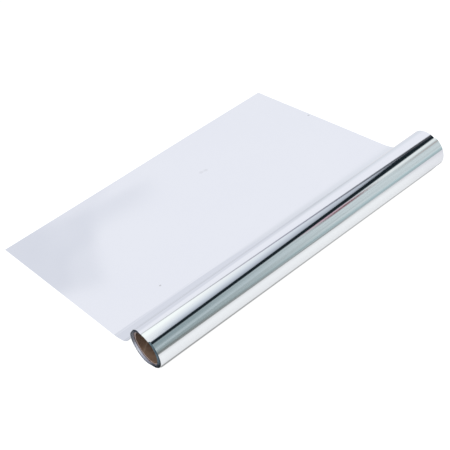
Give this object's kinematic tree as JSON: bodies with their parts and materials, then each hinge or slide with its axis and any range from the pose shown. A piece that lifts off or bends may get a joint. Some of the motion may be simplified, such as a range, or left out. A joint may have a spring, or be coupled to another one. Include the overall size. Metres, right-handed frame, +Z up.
{
  "type": "aluminium foil roll",
  "caption": "Roll of aluminium foil wound on a paperboard tube, lying on its side with a length of foil drawn off and laid flat behind it.",
  "frame": {"origin": "on the table, under the middle of the object's box", "axes": "+X along the roll's axis, +Y from the roll towards the free edge of the drawn-off foil, +Z up"},
  "size_m": [0.302, 0.2436, 0.0336],
  "materials": {
    "core_paperboard": "matt brown kraft paperboard, spiral wound",
    "foil": "mirror bright rolled foil"
  },
  "bodies": {
    "root": {"core_tube": "core_paperboard", "foil": "foil"}
  },
  "joints": []
}
